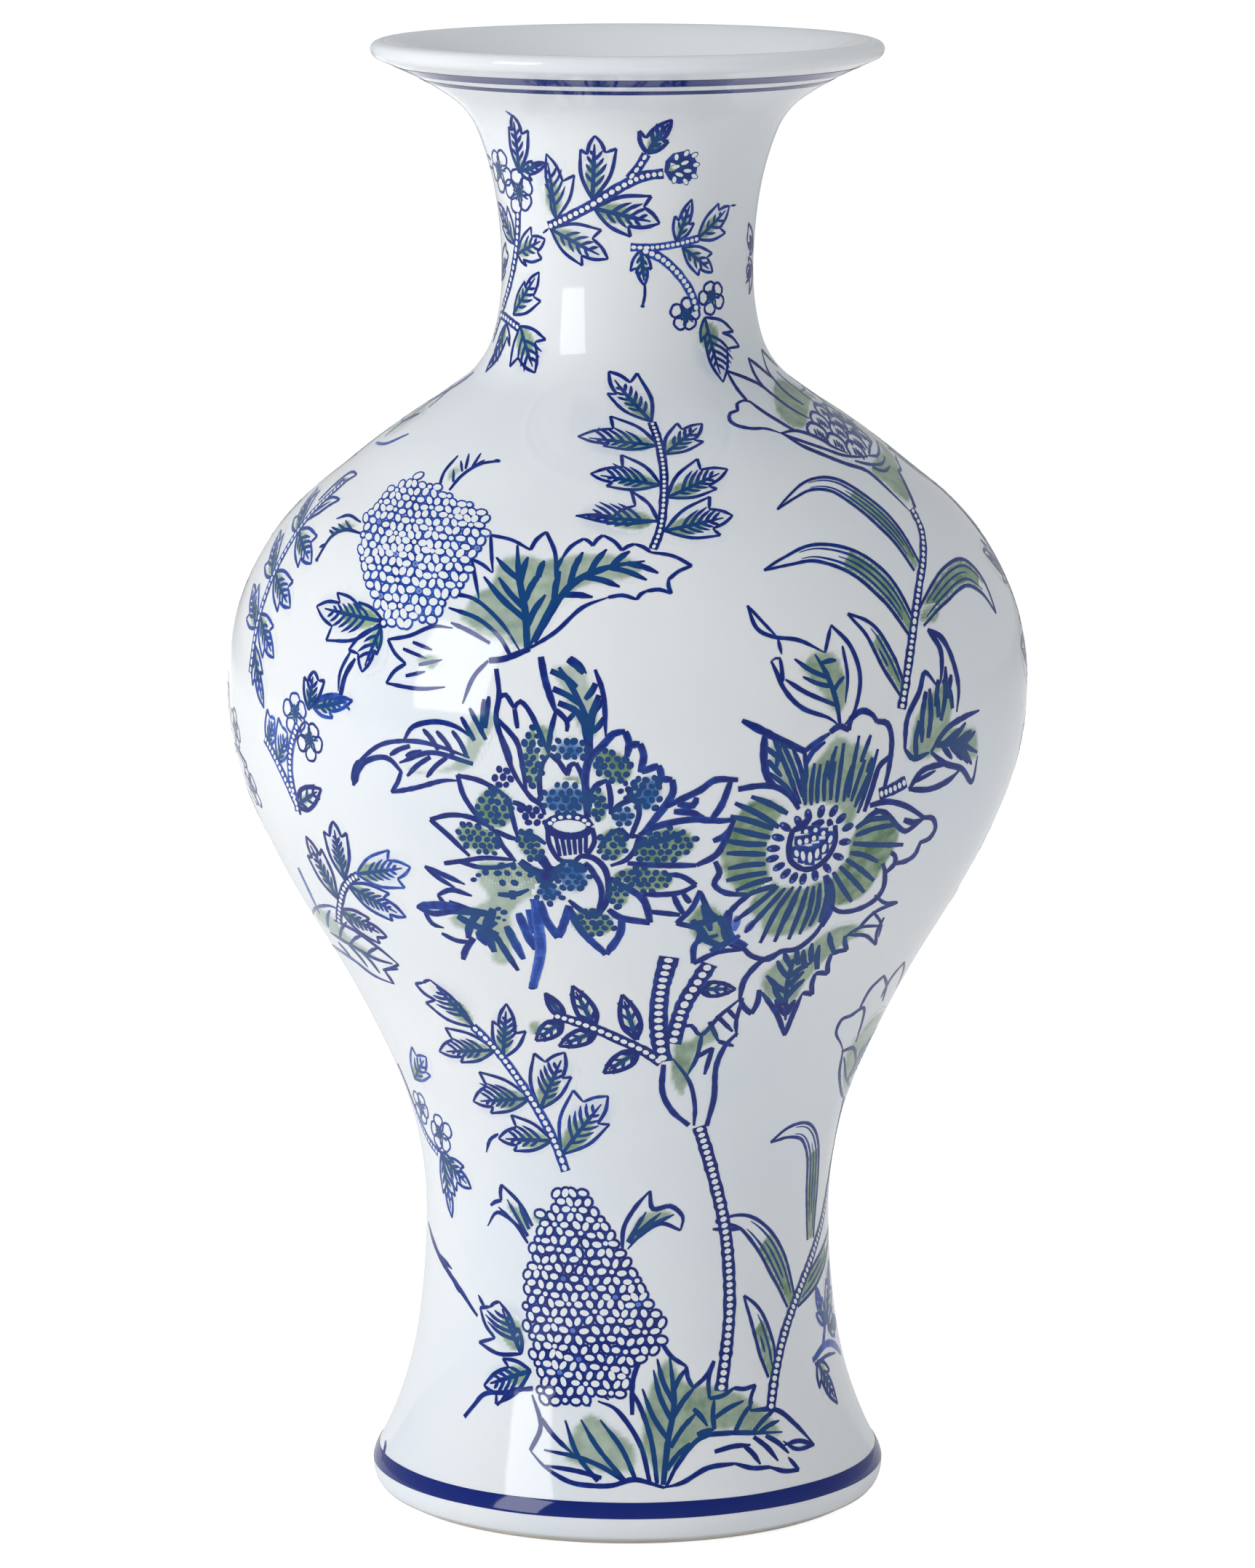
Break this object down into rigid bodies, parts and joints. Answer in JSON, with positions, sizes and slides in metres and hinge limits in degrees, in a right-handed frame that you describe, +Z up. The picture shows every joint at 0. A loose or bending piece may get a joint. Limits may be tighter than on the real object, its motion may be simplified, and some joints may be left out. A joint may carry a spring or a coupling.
{
  "type": "porcelain vase",
  "caption": "Tall porcelain vase with a trumpet mouth, slim neck, round shoulder and spread foot, hand painted in blue with green washes.",
  "frame": {"origin": "centre of the flat ring that the vase stands on", "axes": "+Z up through the mouth along the axis of revolution, -Y towards the side shown in the picture, +X to the viewer's right"},
  "size_m": [0.218, 0.218, 0.4],
  "materials": {
    "biscuit": "matte",
    "clear_glaze": "gloss",
    "cobalt_blue": "gloss",
    "green_wash": "gloss"
  },
  "bodies": {
    "root": {"foot_ring": "biscuit", "base_floor": "biscuit", "foot_skirt": "biscuit", "lower_belly": "biscuit", "shoulder": "biscuit", "neck": "biscuit", "mouth_lip": "biscuit", "outer_glaze": "clear_glaze", "inner_glaze": "clear_glaze", "foot_band": "cobalt_blue", "rim_band_wide": "cobalt_blue", "rim_band_fine": "cobalt_blue"}
  },
  "joints": []
}
